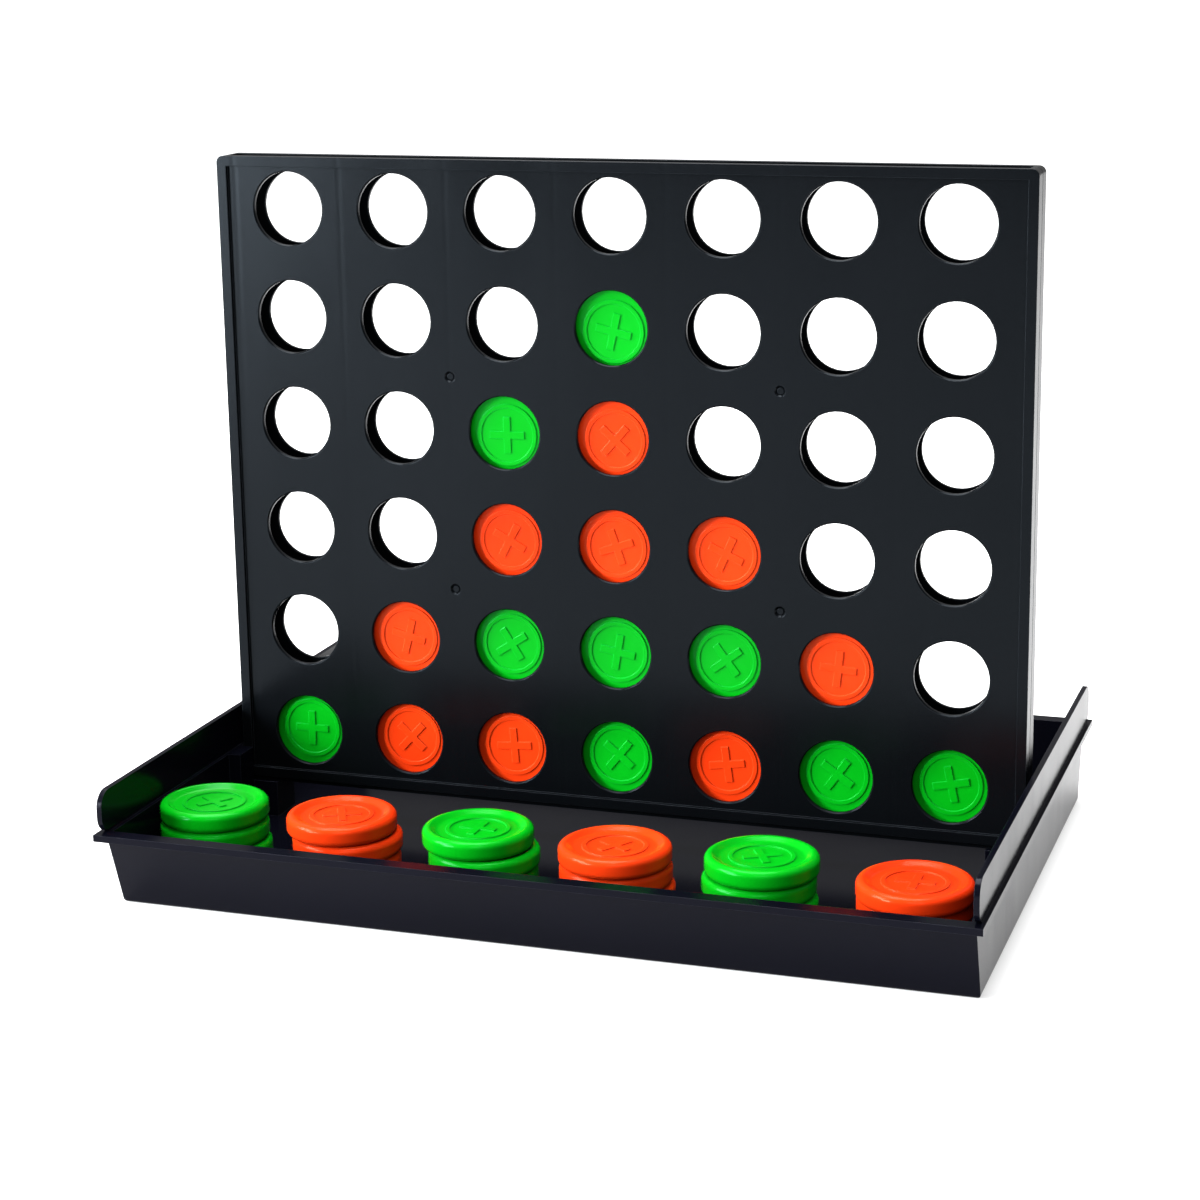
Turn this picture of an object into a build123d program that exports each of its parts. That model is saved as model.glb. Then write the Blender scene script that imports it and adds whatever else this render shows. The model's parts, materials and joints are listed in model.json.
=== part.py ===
"""Tabletop four-in-a-row game: an upright rack in a storage tray, with 42 loose discs.

Millimetres, +Z up, +X along the rack's width, -Y is the players' front side.
The origin is at the centre of the tray's underside.
"""
import math
import os

from build123d import *

os.makedirs("parts", exist_ok=True)

# Game grid
COLUMNS = 7
ROWS = 6
COLUMN_PITCH = 34.0
ROW_PITCH = 32.8
WINDOW_RADIUS = 11.1
GRID_CENTRE_Z = 113.1

# Discs
DISC_RADIUS = 16.2
DISC_THICKNESS = 5.8
DISC_EDGE_ROUND = 1.8
DISH_MOUTH_RADIUS = 14.0
DISH_MOUTH_ROUND = 1.0
DISH_FLOOR_RADIUS = 12.0
DISH_FLOOR_ROUND = 2.0
DISH_DEPTH = 1.1
RELIEF_HEIGHT = 0.35
RELIEF_RING_OUTER = 9.4
RELIEF_RING_INNER = 8.2
RELIEF_SPOKE_LENGTH = 11.0
RELIEF_SPOKE_WIDTH = 2.2
DISC_GAP = 0.05

# Rack shells
RACK_HALF_WIDTH = 124.4
RACK_TOP_Z = 210.7
RACK_UNDERSIDE_Z = 13.4
CHANNEL_FLOOR = 1.5
CHANNEL_DEPTH = 6.4
SHEET = 1.3
BORDER_WIDTH = 3.0
BORDER_RISE = 1.2
RACK_CORNER_ROUND = 2.0
SEAM_GAP = 0.5
DIVIDER = 1.0
WINDOW_BEVEL = 0.35
PEG_RADIUS = 0.7
PEG_TIP_RADIUS = 1.0
PEG_HOLE_RADIUS = 1.2
PEG_SINK_DEPTH = 0.5

# Storage tray
TRAY_SIDE = 126.6
TRAY_FOOT_HALF_DEPTH = 83.2
TRAY_RIM_HALF_DEPTH = 91.8
TRAY_RIM_Z = 24.4
TRAY_FLOOR = 2.0
TRAY_WALL = 1.5
FLANGE_HALF_WIDTH = 129.0
FLANGE_HALF_DEPTH = 95.0
FLANGE_THICKNESS = 2.0
LIP_OUTER = 127.8
LIP_THICKNESS = 1.6
LIP_HALF_DEPTH = 94.2
LIP_TOP_Z = 37.0
LIP_CORNER_ROUND = 5.0
FOOT_ROUND = 1.5

# Sockets that hold the rack's two ends
GUIDE_LENGTH = 4.0
GUIDE_DEPTH = 9.0
GUIDE_CLEARANCE = 0.5
SHELF_LENGTH = 12.0

# Stacks of spare discs
STACKS = 6
STACK_LEVELS = 4
STACK_PITCH = 42.4
STACK_CENTRE_X = -2.3
STACK_Y = -58.4
TOP_SHIFT_X = (-0.3, -1.3, -0.9, -0.8, -1.2, 1.4)
TOP_SHIFT_Y = (0.2, 0.0, 0.0, -3.0, 0.3, -7.6)
STACK_SHIFT_X = (0.2, 0.2, 0.4, -0.8, -1.6, 0.4)

# Colours of the discs in each column, from the bottom up
COLUMN_FILL = ("g", "oo", "ogog", "ggoog", "ogo", "go", "g")
COLOUR_NAMES = {"g": "green", "o": "orange"}

half_channel = CHANNEL_DEPTH / 2
panel_face = half_channel + SHEET
border_face = panel_face + BORDER_RISE
channel_floor_z = RACK_UNDERSIDE_Z + CHANNEL_FLOOR
shell_height = RACK_TOP_Z - channel_floor_z
shell_centre_z = (RACK_TOP_Z + channel_floor_z) / 2
panel_width = 2 * (RACK_HALF_WIDTH - BORDER_WIDTH)
panel_height = shell_height - 2 * BORDER_WIDTH
peg_spacing_x = 3 * COLUMN_PITCH
peg_spacing_z = 2 * ROW_PITCH


def upright(distance, height):
    """Plane facing the front (-Y), the given distance ahead of the rack's middle."""
    return Plane(origin=(0, -distance, height), x_dir=(1, 0, 0), z_dir=(0, -1, 0))


def upright_back(distance, height):
    """Plane facing the back (+Y), the given distance behind the rack's middle."""
    return Plane(origin=(0, distance, height), x_dir=(-1, 0, 0), z_dir=(0, 1, 0))


# Front half of the rack: sheet with 42 windows, raised border and side flanges
with BuildPart() as rack_front_shell:
    with BuildSketch(upright(half_channel, shell_centre_z)):
        RectangleRounded(2 * RACK_HALF_WIDTH, shell_height, RACK_CORNER_ROUND)
    extrude(amount=SHEET + BORDER_RISE)
    with BuildSketch(upright(panel_face, shell_centre_z)):
        Rectangle(panel_width, panel_height)
    extrude(amount=BORDER_RISE, mode=Mode.SUBTRACT)
    with BuildSketch(upright(SEAM_GAP / 2, shell_centre_z)):
        RectangleRounded(2 * RACK_HALF_WIDTH, shell_height, RACK_CORNER_ROUND)
        Rectangle(panel_width, shell_height, mode=Mode.SUBTRACT)
    extrude(amount=half_channel - SEAM_GAP / 2)
    with BuildSketch(upright(half_channel, GRID_CENTRE_Z)):
        with GridLocations(COLUMN_PITCH, ROW_PITCH, COLUMNS, ROWS):
            Circle(WINDOW_RADIUS)
        with GridLocations(peg_spacing_x, peg_spacing_z, 2, 2):
            Circle(PEG_HOLE_RADIUS)
    extrude(amount=SHEET, mode=Mode.SUBTRACT)
    front_face_edges = rack_front_shell.faces().filter_by(
        lambda face: abs(face.center().Y + panel_face) < 0.01
    ).edges().filter_by(GeomType.CIRCLE)
    chamfer(
        front_face_edges.filter_by(lambda edge: edge.radius > WINDOW_RADIUS / 2),
        length=WINDOW_BEVEL,
    )
    chamfer(
        rack_front_shell.edges().filter_by(GeomType.CIRCLE).filter_by(
            lambda edge: edge.radius < WINDOW_RADIUS / 2
            and abs(edge.center().Y + panel_face) < 0.01
        ),
        length=PEG_SINK_DEPTH,
    )
rack_front_shell.part.label = "rack_front_shell"
export_step(rack_front_shell.part, "parts/rack_front_shell.step")

# Rear half of the rack: sheet with 42 windows, dividers, channel floor and pegs
with BuildPart() as rack_rear_shell:
    with BuildSketch(upright_back(half_channel, shell_centre_z)):
        RectangleRounded(2 * RACK_HALF_WIDTH, shell_height, RACK_CORNER_ROUND)
    extrude(amount=SHEET + BORDER_RISE)
    with BuildSketch(upright_back(panel_face, shell_centre_z)):
        Rectangle(panel_width, panel_height)
    extrude(amount=BORDER_RISE, mode=Mode.SUBTRACT)
    with BuildSketch(upright_back(SEAM_GAP / 2, shell_centre_z)):
        RectangleRounded(2 * RACK_HALF_WIDTH, shell_height, RACK_CORNER_ROUND)
        Rectangle(panel_width, shell_height, mode=Mode.SUBTRACT)
    extrude(amount=half_channel - SEAM_GAP / 2)
    with BuildSketch(upright_back(half_channel, GRID_CENTRE_Z)):
        with GridLocations(COLUMN_PITCH, ROW_PITCH, COLUMNS, ROWS):
            Circle(WINDOW_RADIUS)
    extrude(amount=SHEET, mode=Mode.SUBTRACT)
    chamfer(
        rack_rear_shell.faces().filter_by(
            lambda face: abs(face.center().Y - panel_face) < 0.01
        ).edges().filter_by(GeomType.CIRCLE).filter_by(
            lambda edge: edge.radius > WINDOW_RADIUS / 2
        ),
        length=WINDOW_BEVEL,
    )
    # Eight dividers make the seven columns and reach the front sheet
    divider_height = panel_height + BORDER_WIDTH
    with BuildSketch(upright(-half_channel, channel_floor_z + divider_height / 2)):
        with GridLocations(COLUMN_PITCH, 0, COLUMNS + 1, 1):
            Rectangle(DIVIDER, divider_height)
    extrude(amount=CHANNEL_DEPTH)
    # Floor under the columns
    with BuildSketch(Plane.XY.offset(RACK_UNDERSIDE_Z)):
        Rectangle(2 * RACK_HALF_WIDTH, 2 * panel_face)
    extrude(amount=CHANNEL_FLOOR)
    # Four pegs on the dividers, with staked tips that hold the front shell
    with BuildSketch(upright(-half_channel, GRID_CENTRE_Z)):
        with GridLocations(peg_spacing_x, peg_spacing_z, 2, 2):
            Circle(PEG_RADIUS)
    extrude(amount=CHANNEL_DEPTH)
    with BuildSketch(upright(half_channel, GRID_CENTRE_Z)):
        with GridLocations(peg_spacing_x, peg_spacing_z, 2, 2):
            Circle(PEG_TIP_RADIUS)
    extrude(amount=SHEET - PEG_SINK_DEPTH)
rack_rear_shell.part.label = "rack_rear_shell"
export_step(rack_rear_shell.part, "parts/rack_rear_shell.step")

# Storage tray: drafted front and rear walls, upright sides with lips above a flange
wall_slope = (TRAY_RIM_HALF_DEPTH - TRAY_FOOT_HALF_DEPTH) / TRAY_RIM_Z
cavity_foot = TRAY_FOOT_HALF_DEPTH + wall_slope * TRAY_FLOOR - TRAY_WALL
cavity_rim = TRAY_RIM_HALF_DEPTH - TRAY_WALL
lip_inner = LIP_OUTER - LIP_THICKNESS
cavity_half_width = TRAY_SIDE - TRAY_WALL
guide_inner_y = border_face + GUIDE_CLEARANCE

with BuildPart() as base_tray:
    with BuildSketch(Plane.YZ.offset(-TRAY_SIDE)):
        with BuildLine():
            Polyline(
                (-TRAY_FOOT_HALF_DEPTH, 0),
                (TRAY_FOOT_HALF_DEPTH, 0),
                (TRAY_RIM_HALF_DEPTH, TRAY_RIM_Z),
                (-TRAY_RIM_HALF_DEPTH, TRAY_RIM_Z),
                close=True,
            )
        make_face()
    extrude(amount=2 * TRAY_SIDE)
    fillet(base_tray.edges().group_by(Axis.Z)[0], radius=FOOT_ROUND)
    with BuildSketch(Plane.XY.offset(TRAY_RIM_Z - FLANGE_THICKNESS)):
        Rectangle(2 * FLANGE_HALF_WIDTH, 2 * FLANGE_HALF_DEPTH)
    extrude(amount=FLANGE_THICKNESS)
    with BuildSketch(Plane.YZ.offset(-cavity_half_width)):
        with BuildLine():
            Polyline(
                (-cavity_foot, TRAY_FLOOR),
                (cavity_foot, TRAY_FLOOR),
                (cavity_rim, TRAY_RIM_Z),
                (-cavity_rim, TRAY_RIM_Z),
                close=True,
            )
        make_face()
    extrude(amount=2 * cavity_half_width, mode=Mode.SUBTRACT)
    # Side lips
    for side in (-1, 1):
        lip_middle = side * (LIP_OUTER - LIP_THICKNESS / 2)
        with BuildSketch(Plane.YZ.offset(lip_middle)):
            with BuildLine():
                Polyline(
                    (-LIP_HALF_DEPTH, TRAY_RIM_Z),
                    (LIP_HALF_DEPTH, TRAY_RIM_Z),
                    (LIP_HALF_DEPTH, LIP_TOP_Z),
                    (-LIP_HALF_DEPTH, LIP_TOP_Z),
                    close=True,
                )
            lip_face = make_face()
            fillet(lip_face.vertices().group_by(Axis.Z)[-1], radius=LIP_CORNER_ROUND)
        extrude(amount=LIP_THICKNESS / 2, both=True)
    # Sockets for the rack: a shelf and two guides at each end
    for side in (-1, 1):
        shelf_x = side * (cavity_half_width - SHELF_LENGTH / 2)
        guide_x = side * (cavity_half_width - GUIDE_LENGTH / 2)
        guide_y = guide_inner_y + GUIDE_DEPTH / 2
        with BuildSketch(Plane.XY.offset(TRAY_FLOOR)):
            with Locations((shelf_x, 0)):
                Rectangle(SHELF_LENGTH, 2 * guide_inner_y)
        extrude(amount=RACK_UNDERSIDE_Z - TRAY_FLOOR)
        with BuildSketch(Plane.XY.offset(TRAY_FLOOR)):
            with Locations((guide_x, -guide_y), (guide_x, guide_y)):
                Rectangle(GUIDE_LENGTH, GUIDE_DEPTH)
        extrude(amount=TRAY_RIM_Z - TRAY_FLOOR)
base_tray.part.label = "base_tray"
export_step(base_tray.part, "parts/base_tray.step")

# Where each disc sits: name and the plane through its middle
disc_planes = []
for column, fill in enumerate(COLUMN_FILL):
    column_x = (column - (COLUMNS - 1) / 2) * COLUMN_PITCH
    for level, letter in enumerate(fill):
        height = channel_floor_z + DISC_GAP + DISC_RADIUS
        height += level * (2 * DISC_RADIUS + DISC_GAP)
        name = f"{COLOUR_NAMES[letter]}_disc_column{column + 1}_level{level + 1}"
        spin = math.radians(47 * column + 29 * level)
        spun_x = (math.cos(spin), 0, math.sin(spin))
        middle_plane = Plane(origin=(column_x, 0, height), x_dir=spun_x, z_dir=(0, -1, 0))
        disc_planes.append((name, middle_plane))
for stack in range(STACKS):
    colour = "green" if stack % 2 == 0 else "orange"
    for level in range(STACK_LEVELS):
        on_top = level == STACK_LEVELS - 1
        turn = 1.7 * stack + 2.3 * level
        shift_x = TOP_SHIFT_X[stack] if on_top else STACK_SHIFT_X[stack] + 0.5 * math.sin(turn)
        shift_y = TOP_SHIFT_Y[stack] if on_top else TOP_SHIFT_Y[stack] / 2 + 0.4 * math.cos(turn)
        stack_x = STACK_CENTRE_X + (stack - (STACKS - 1) / 2) * STACK_PITCH + shift_x
        height = TRAY_FLOOR + DISC_GAP + DISC_THICKNESS / 2 + level * (DISC_THICKNESS + DISC_GAP)
        name = f"{colour}_disc_stack{stack + 1}_level{level + 1}"
        spin = math.radians(25 + 61 * stack + 40 * level)
        spun_x = (math.cos(spin), math.sin(spin), 0)
        middle_plane = Plane(origin=(stack_x, STACK_Y + shift_y, height), x_dir=spun_x)
        disc_planes.append((name, middle_plane))

# Discs: round counters with a soft raised rim, a dish and a plain ring-and-cross relief
half_disc = DISC_THICKNESS / 2
web_face = half_disc - DISH_DEPTH
for name, plane in disc_planes:
    section = Plane(origin=plane.origin, x_dir=plane.x_dir, z_dir=-plane.y_dir)
    with BuildPart() as disc:
        with BuildSketch(section) as profile:
            with BuildLine():
                Polyline(
                    (0, -web_face),
                    (DISH_FLOOR_RADIUS, -web_face),
                    (DISH_MOUTH_RADIUS, -half_disc),
                    (DISC_RADIUS, -half_disc),
                    (DISC_RADIUS, half_disc),
                    (DISH_MOUTH_RADIUS, half_disc),
                    (DISH_FLOOR_RADIUS, web_face),
                    (0, web_face),
                    close=True,
                )
            make_face()
            fillet(profile.vertices().group_by(Axis.X)[1], radius=DISH_FLOOR_ROUND)
            fillet(
                profile.vertices().filter_by(lambda corner: abs(corner.X - DISH_MOUTH_RADIUS) < 0.01),
                radius=DISH_MOUTH_ROUND,
            )
            fillet(profile.vertices().group_by(Axis.X)[-1], radius=DISC_EDGE_ROUND)
        revolve(axis=Axis(plane.origin, plane.z_dir))
        for facing in (1, -1):
            with BuildSketch(plane.offset(facing * web_face)):
                Circle(RELIEF_RING_OUTER)
                Circle(RELIEF_RING_INNER, mode=Mode.SUBTRACT)
                Rectangle(RELIEF_SPOKE_LENGTH, RELIEF_SPOKE_WIDTH)
                Rectangle(RELIEF_SPOKE_WIDTH, RELIEF_SPOKE_LENGTH)
            extrude(amount=facing * RELIEF_HEIGHT)
    disc.part.label = name
    export_step(disc.part, f"parts/{name}.step")
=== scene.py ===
"""Tabletop four-in-a-row game: moulded plastics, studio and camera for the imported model.

Metres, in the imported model's frame: +Z up, -Y towards the players' front side.
"""
import json
import math

import bpy
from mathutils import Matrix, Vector

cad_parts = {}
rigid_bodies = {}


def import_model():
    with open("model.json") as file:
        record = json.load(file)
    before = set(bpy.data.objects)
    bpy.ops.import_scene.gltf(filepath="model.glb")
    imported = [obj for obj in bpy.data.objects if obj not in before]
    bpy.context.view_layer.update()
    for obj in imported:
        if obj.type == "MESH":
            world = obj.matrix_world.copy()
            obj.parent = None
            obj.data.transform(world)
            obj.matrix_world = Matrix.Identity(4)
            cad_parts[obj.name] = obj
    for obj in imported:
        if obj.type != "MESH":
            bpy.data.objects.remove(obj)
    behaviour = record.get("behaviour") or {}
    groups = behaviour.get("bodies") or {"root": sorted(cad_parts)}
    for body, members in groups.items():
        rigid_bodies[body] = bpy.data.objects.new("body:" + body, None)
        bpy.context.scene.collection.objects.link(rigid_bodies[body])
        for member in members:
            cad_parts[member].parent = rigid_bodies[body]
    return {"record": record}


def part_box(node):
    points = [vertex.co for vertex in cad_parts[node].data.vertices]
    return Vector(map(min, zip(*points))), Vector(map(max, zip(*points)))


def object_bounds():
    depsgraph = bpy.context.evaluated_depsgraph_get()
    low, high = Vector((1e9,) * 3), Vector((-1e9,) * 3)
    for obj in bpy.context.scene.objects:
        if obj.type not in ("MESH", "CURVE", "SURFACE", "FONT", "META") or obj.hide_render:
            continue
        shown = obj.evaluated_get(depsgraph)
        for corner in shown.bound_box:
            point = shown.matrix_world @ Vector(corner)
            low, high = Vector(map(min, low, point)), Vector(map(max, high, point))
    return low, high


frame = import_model()
cad_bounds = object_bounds()
scene = bpy.context.scene
low = Vector(cad_bounds[0])
high = Vector(cad_bounds[1])
middle = (low + high) / 2

WHITE = (1.0, 1.0, 1.0)

# Moulded surface: noise scales are features per metre, heights and widths are metres
CLOUD_SCALE = 14.0
WEAR_SCALE = 90.0
EDGE_RADIUS = 0.0003
EDGE_SAMPLES = 4
EDGE_STARTS = 0.98
EDGE_FULL = 0.80
FLOW_SCALE = 38.0
FLOW_STRETCH = (1.0, 1.0, 0.25)
WAVE_SCALE = 26.0
WAVE_HEIGHT = 0.0004
WAVE_STRENGTH = 0.25
GRAIN_SCALE = 2600.0
GRAIN_HEIGHT = 0.00006
SINK_HALF_WIDTH = 0.0012
SINK_HEIGHT = 0.0001
SINK_STRENGTH = 0.15
SEED_SHIFT = Vector((1.0, 0.37, -0.61))
COLUMNS = 7

# Studio
FLOOR_REACH = 6.0
FLOOR_GREY = (0.50, 0.50, 0.50)
FLOOR_GLOW_FRONT = 0.1
FLOOR_GLOW_BACK = 0.9
FLOOR_GLOW_SPAN = 0.6
BACKDROP = 1.15
FRONT_DIMMING = 0.10
HORIZON_DIMMING = 0.30

# Camera, from the middle of the object
CAMERA_LENS_MM = 80.17
SENSOR_WIDTH_MM = 36.0
CAMERA_SHIFT_Y = -0.05
CAMERA_OFFSET = Vector((0.24458, -0.7381, 0.17625))
CAMERA_TURN_DEGREES = (76.707, 0.8403, 18.5405)

# ---------------------------------------------------------------- node helpers

# Sockets of a Mix node set to colours, which share their names with its other types
MIX_FACTOR = 0
MIX_FIRST = 6
MIX_SECOND = 7
MIX_RESULT = 2


class Graph:
    """A node tree being built: each method adds a node and returns its output."""

    def __init__(self, tree):
        self.nodes = tree.nodes
        self.links = tree.links

    def feed(self, socket, value):
        """Link another node's output to a socket, or set the socket's own number or colour."""
        if isinstance(value, bpy.types.NodeSocket):
            self.links.new(value, socket)
        elif isinstance(value, tuple):
            socket.default_value = (*value, 1.0)
        else:
            socket.default_value = value

    def coordinates(self, kind):
        return self.nodes.new("ShaderNodeTexCoord").outputs[kind]

    def axis(self, vector, letter):
        node = self.nodes.new("ShaderNodeSeparateXYZ")
        self.feed(node.inputs["Vector"], vector)
        return node.outputs[letter]

    def mapping(self, vector, location=(0.0, 0.0, 0.0), scale=(1.0, 1.0, 1.0)):
        node = self.nodes.new("ShaderNodeMapping")
        node.inputs["Location"].default_value = location
        node.inputs["Scale"].default_value = scale
        self.feed(node.inputs["Vector"], vector)
        return node.outputs["Vector"]

    def noise(self, vector, scale, detail, roughness):
        node = self.nodes.new("ShaderNodeTexNoise")
        self.feed(node.inputs["Scale"], scale)
        self.feed(node.inputs["Detail"], detail)
        self.feed(node.inputs["Roughness"], roughness)
        self.feed(node.inputs["Vector"], vector)
        return node.outputs["Fac"]

    def remap(self, value, from_min, from_max, to_min, to_max):
        node = self.nodes.new("ShaderNodeMapRange")
        self.feed(node.inputs["From Min"], from_min)
        self.feed(node.inputs["From Max"], from_max)
        self.feed(node.inputs["To Min"], to_min)
        self.feed(node.inputs["To Max"], to_max)
        self.feed(node.inputs["Value"], value)
        return node.outputs["Result"]

    def blend(self, factor, first, second):
        node = self.nodes.new("ShaderNodeMix")
        node.data_type = "RGBA"
        self.feed(node.inputs[MIX_FACTOR], factor)
        self.feed(node.inputs[MIX_FIRST], first)
        self.feed(node.inputs[MIX_SECOND], second)
        return node.outputs[MIX_RESULT]

    def calculate(self, operation, first, second):
        node = self.nodes.new("ShaderNodeMath")
        node.operation = operation
        self.feed(node.inputs[0], first)
        self.feed(node.inputs[1], second)
        return node.outputs["Value"]

    def bump(self, height, strength, distance, normal):
        node = self.nodes.new("ShaderNodeBump")
        self.feed(node.inputs["Strength"], strength)
        self.feed(node.inputs["Distance"], distance)
        self.feed(node.inputs["Height"], height)
        self.feed(node.inputs["Normal"], normal)
        return node.outputs["Normal"]

    def rounded_edges(self, radius):
        """Normal rounded within a radius of each sharp edge, and a 0 to 1 mask of those edges.

        The mask starts and is full where the rounded normal has turned by those cosines.
        """
        bevel = self.nodes.new("ShaderNodeBevel")
        bevel.samples = EDGE_SAMPLES
        self.feed(bevel.inputs["Radius"], radius)
        turn = self.nodes.new("ShaderNodeVectorMath")
        turn.operation = "DOT_PRODUCT"
        self.feed(turn.inputs[0], bevel.outputs["Normal"])
        self.feed(turn.inputs[1], self.nodes.new("ShaderNodeNewGeometry").outputs["Normal"])
        mask = self.remap(turn.outputs["Value"], EDGE_STARTS, EDGE_FULL, 0.0, 1.0)
        return bevel.outputs["Normal"], mask


def new_material(name):
    """Material with only a Principled shader; returns the material, its graph and the shader."""
    material = bpy.data.materials.new(name)
    material.use_nodes = True
    material.node_tree.nodes.clear()
    graph = Graph(material.node_tree)
    output = graph.nodes.new("ShaderNodeOutputMaterial")
    shader = graph.nodes.new("ShaderNodeBsdfPrincipled")
    graph.feed(output.inputs["Surface"], shader.outputs["BSDF"])
    return material, graph, shader


def moulded_plastic(name, dark, light, edge_highlight_and_wear_colour, roughness, specular, tint,
                    grain=0.12, seed=0.0, sink_pitch=None):
    """Injection-moulded plastic: cloudy colour, paler edges that are a painted edge highlight
    together with wear, flow marks, grain, uneven gloss.

    sink_pitch is the spacing of the upright sink lines left by ribs behind the surface.
    """
    material, graph, shader = new_material(name)
    place = graph.coordinates("Object")
    vector = graph.mapping(place, location=seed * SEED_SHIFT)
    round_normal, edges = graph.rounded_edges(EDGE_RADIUS)

    cloud = graph.noise(vector, CLOUD_SCALE, detail=4.0, roughness=0.55)
    body_colour = graph.blend(graph.remap(cloud, 0.3, 0.7, 0.0, 1.0), dark, light)
    # Paler colour along sharp edges, in random patches: a painted edge highlight together with
    # wear
    patches = graph.noise(vector, WEAR_SCALE, detail=3.0, roughness=0.6)
    edge_highlight_and_wear = graph.calculate("MULTIPLY", edges, graph.remap(patches, 0.35, 0.65, 0.35, 1.0))
    graph.feed(shader.inputs["Base Color"], graph.blend(edge_highlight_and_wear, body_colour, edge_highlight_and_wear_colour))

    flow = graph.mapping(vector, scale=FLOW_STRETCH)
    gloss = graph.noise(flow, FLOW_SCALE, detail=5.0, roughness=0.6)
    graph.feed(shader.inputs["Roughness"], graph.remap(gloss, 0.3, 0.7, *roughness))

    waves = graph.noise(vector, WAVE_SCALE, detail=2.0, roughness=0.4)
    surface = graph.bump(waves, WAVE_STRENGTH, WAVE_HEIGHT, round_normal)
    grains = graph.noise(vector, GRAIN_SCALE, detail=2.0, roughness=0.5)
    surface = graph.bump(grains, grain, GRAIN_HEIGHT, surface)
    if sink_pitch:
        from_column = graph.calculate("PINGPONG", graph.axis(place, "X"), sink_pitch / 2)
        from_rib = graph.calculate("SUBTRACT", sink_pitch / 2, from_column)
        sink = graph.remap(from_rib, 0.0, SINK_HALF_WIDTH, 0.0, 1.0)
        surface = graph.bump(sink, SINK_STRENGTH, SINK_HEIGHT, surface)
    graph.feed(shader.inputs["Normal"], surface)

    shader.inputs["Specular IOR Level"].default_value = specular
    shader.inputs["Specular Tint"].default_value = (*tint, 1.0)
    return material


# ------------------------------------------------------------------- materials


def middle_x(node):
    """X of the middle of a CAD node."""
    lowest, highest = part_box(node)
    return (lowest.x + highest.x) / 2


first_column_x = middle_x("green_disc_column1_level1")
last_column_x = middle_x("green_disc_column7_level1")
column_pitch = (last_column_x - first_column_x) / (COLUMNS - 1)

# Each finish's paler edge colour is a painted edge highlight together with wear
rack_black = moulded_plastic(
    "rack_black_plastic",
    dark=(0.0010, 0.0013, 0.0017),
    light=(0.0015, 0.0018, 0.0023),
    edge_highlight_and_wear_colour=(0.014, 0.017, 0.021),
    roughness=(0.19, 0.27),
    specular=0.08,
    tint=(0.76, 0.88, 1.0),
    sink_pitch=column_pitch,
)
tray_black = moulded_plastic(
    "tray_black_plastic",
    dark=(0.0010, 0.0011, 0.0024),
    light=(0.0015, 0.0016, 0.0034),
    edge_highlight_and_wear_colour=(0.014, 0.015, 0.021),
    roughness=(0.14, 0.22),
    specular=0.06,
    tint=(0.86, 0.85, 1.0),
    seed=3.1,
)
disc_green = moulded_plastic(
    "disc_green_plastic",
    dark=(0.0004, 0.190, 0.003),
    light=(0.001, 0.230, 0.006),
    edge_highlight_and_wear_colour=(0.008, 0.36, 0.04),
    roughness=(0.16, 0.24),
    specular=0.08,
    tint=(0.35, 1.0, 0.75),
    grain=0.08,
    seed=5.3,
)
disc_orange = moulded_plastic(
    "disc_orange_plastic",
    dark=(0.42, 0.018, 0.0020),
    light=(0.48, 0.028, 0.003),
    edge_highlight_and_wear_colour=(0.78, 0.09, 0.025),
    roughness=(0.16, 0.24),
    specular=0.08,
    tint=(1.0, 0.75, 0.45),
    grain=0.08,
    seed=8.7,
)

FINISH = {
    "black_plastic": rack_black,
    "green_plastic": disc_green,
    "orange_plastic": disc_orange,
}
for part in frame["record"]["subparts"]:
    finish = tray_black if part["node"] == "base_tray" else FINISH[part["material_slot"]]
    for slot in bpy.data.objects[part["node"]].material_slots:
        slot.material = finish

# ---------------------------------------------------------------------- lights


def area_light(name, place, width, height, watts, colour=WHITE):
    """Rectangular softbox, aimed at the middle of the object."""
    data = bpy.data.lights.new(name, "AREA")
    data.shape = "RECTANGLE"
    data.size = width
    data.size_y = height
    data.energy = watts
    data.color = colour
    light = bpy.data.objects.new(name, data)
    light.location = place
    aim = middle - Vector(place)
    light.rotation_euler = aim.to_track_quat("-Z", "Y").to_euler()
    scene.collection.objects.link(light)


area_light("softbox_left", (-1.50, -0.80, 0.85), 0.9, 0.9, 84.0, (0.97, 0.98, 1.0))
area_light("front_fill", (0.45, -1.55, 1.05), 0.9, 0.9, 14.0)
area_light("sheen_left", (-1.05, -1.2, 0.32), 0.5, 0.6, 52.0, (0.90, 0.96, 1.0))
area_light("overhead", (-0.2, 0.0, 1.5), 1.1, 1.1, 62.0)
area_light("rear_fill", (-0.6, 1.0, 1.5), 0.7, 0.7, 16.0)

# ----------------------------------------------------------------------- floor

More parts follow.
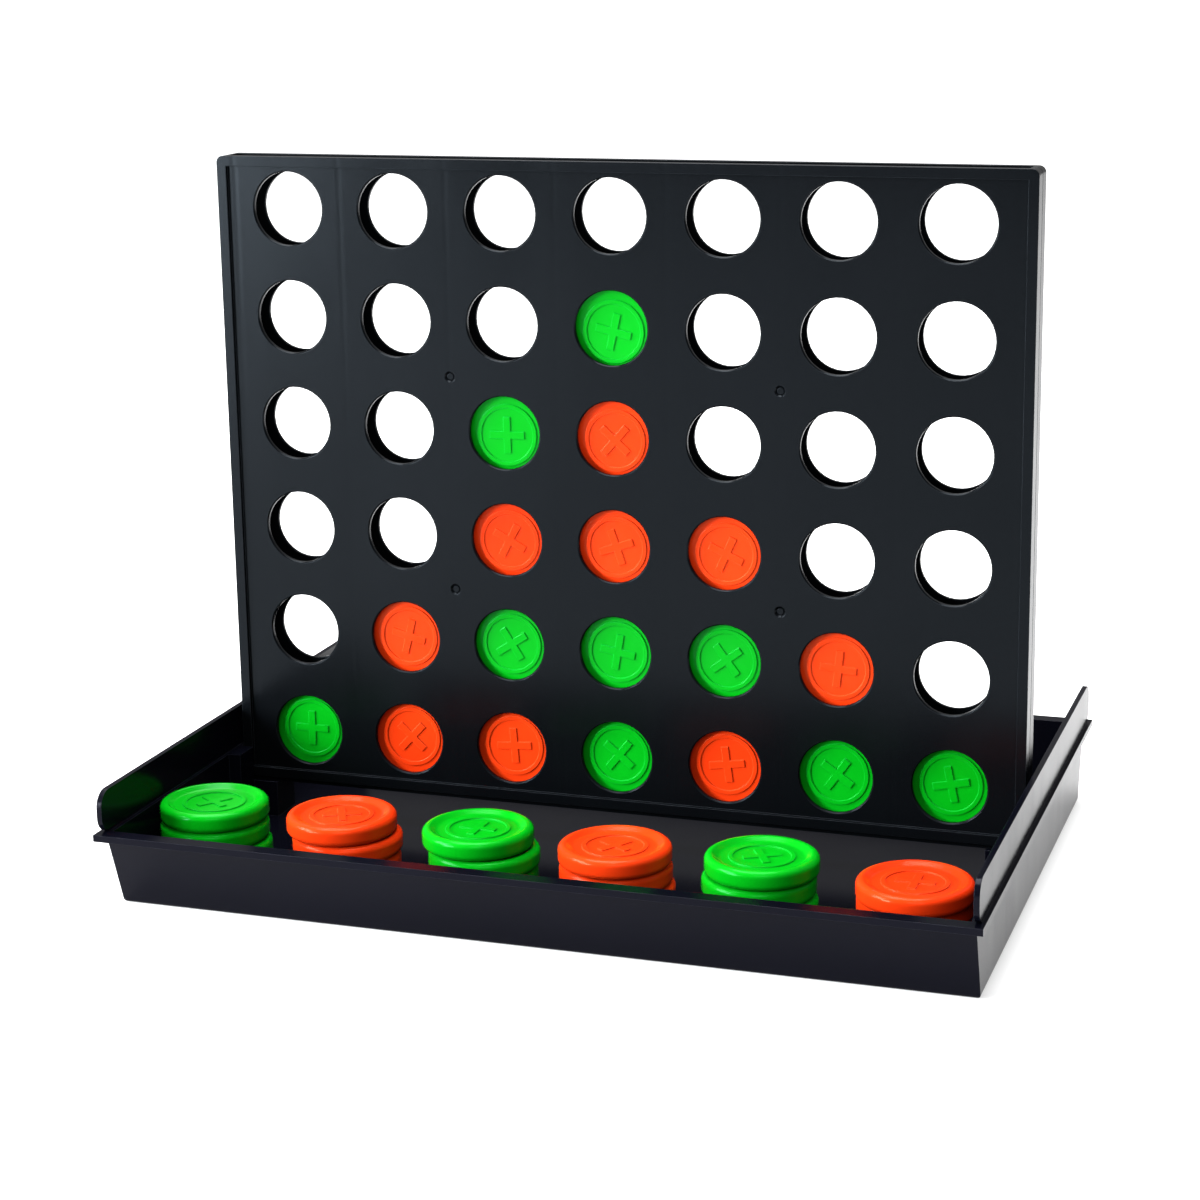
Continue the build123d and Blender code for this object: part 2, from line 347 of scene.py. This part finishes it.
# Pale floor that glows more towards the back, so that it stays white behind the object
# while its front, which mirrors in the rack's face, stays dim
floor_material, floor_graph, floor_shader = new_material("studio_floor")
floor_shader.inputs["Base Color"].default_value = (*FLOOR_GREY, 1.0)
floor_shader.inputs["Roughness"].default_value = 0.9
floor_shader.inputs["Specular IOR Level"].default_value = 0.1
floor_shader.inputs["Emission Color"].default_value = (*WHITE, 1.0)
floor_depth = floor_graph.axis(floor_graph.coordinates("Object"), "Y")
floor_glow = floor_graph.remap(floor_depth, -FLOOR_GLOW_SPAN, FLOOR_GLOW_SPAN,
                               FLOOR_GLOW_FRONT, FLOOR_GLOW_BACK)
floor_graph.feed(floor_shader.inputs["Emission Strength"], floor_glow)

floor_corners = [(x * FLOOR_REACH, y * FLOOR_REACH, low.z)
                 for x, y in ((-1, -1), (1, -1), (1, 1), (-1, 1))]
floor_mesh = bpy.data.meshes.new("studio_floor")
floor_mesh.from_pydata(floor_corners, [], [(0, 1, 2, 3)])
floor_mesh.materials.append(floor_material)
floor = bpy.data.objects.new("studio_floor", floor_mesh)
scene.collection.objects.link(floor)

# ----------------------------------------------------------------------- world

# White where it is seen directly, and dimmer in front and near the horizon where the object
# mirrors it
world = bpy.data.worlds.new("studio_world")
scene.world = world
world.use_nodes = True
sky = Graph(world.node_tree)
background = sky.nodes["Background"]
direction = sky.coordinates("Generated")
front_to_back = sky.remap(sky.axis(direction, "Y"), -0.75, 0.15, FRONT_DIMMING, BACKDROP)
horizon_up = sky.remap(sky.axis(direction, "Z"), 0.40, 0.75, HORIZON_DIMMING, 1.00)
mirrored = sky.calculate("MULTIPLY", front_to_back, horizon_up)
camera_ray = sky.nodes.new("ShaderNodeLightPath").outputs["Is Camera Ray"]
seen = sky.calculate("MULTIPLY", camera_ray, BACKDROP)
sky.feed(background.inputs["Strength"], sky.calculate("MAXIMUM", mirrored, seen))
background.inputs["Color"].default_value = (*WHITE, 1.0)
scene.view_settings.view_transform = "Standard"

# ---------------------------------------------------------------------- camera

camera_data = bpy.data.cameras.new("camera")
camera_data.lens = CAMERA_LENS_MM
camera_data.sensor_width = SENSOR_WIDTH_MM
camera_data.shift_y = CAMERA_SHIFT_Y
camera_data.clip_start = 0.05
camera_data.clip_end = 30.0
camera = bpy.data.objects.new("camera", camera_data)
camera.location = middle + CAMERA_OFFSET
camera.rotation_euler = [math.radians(turn) for turn in CAMERA_TURN_DEGREES]
scene.collection.objects.link(camera)
scene.camera = camera
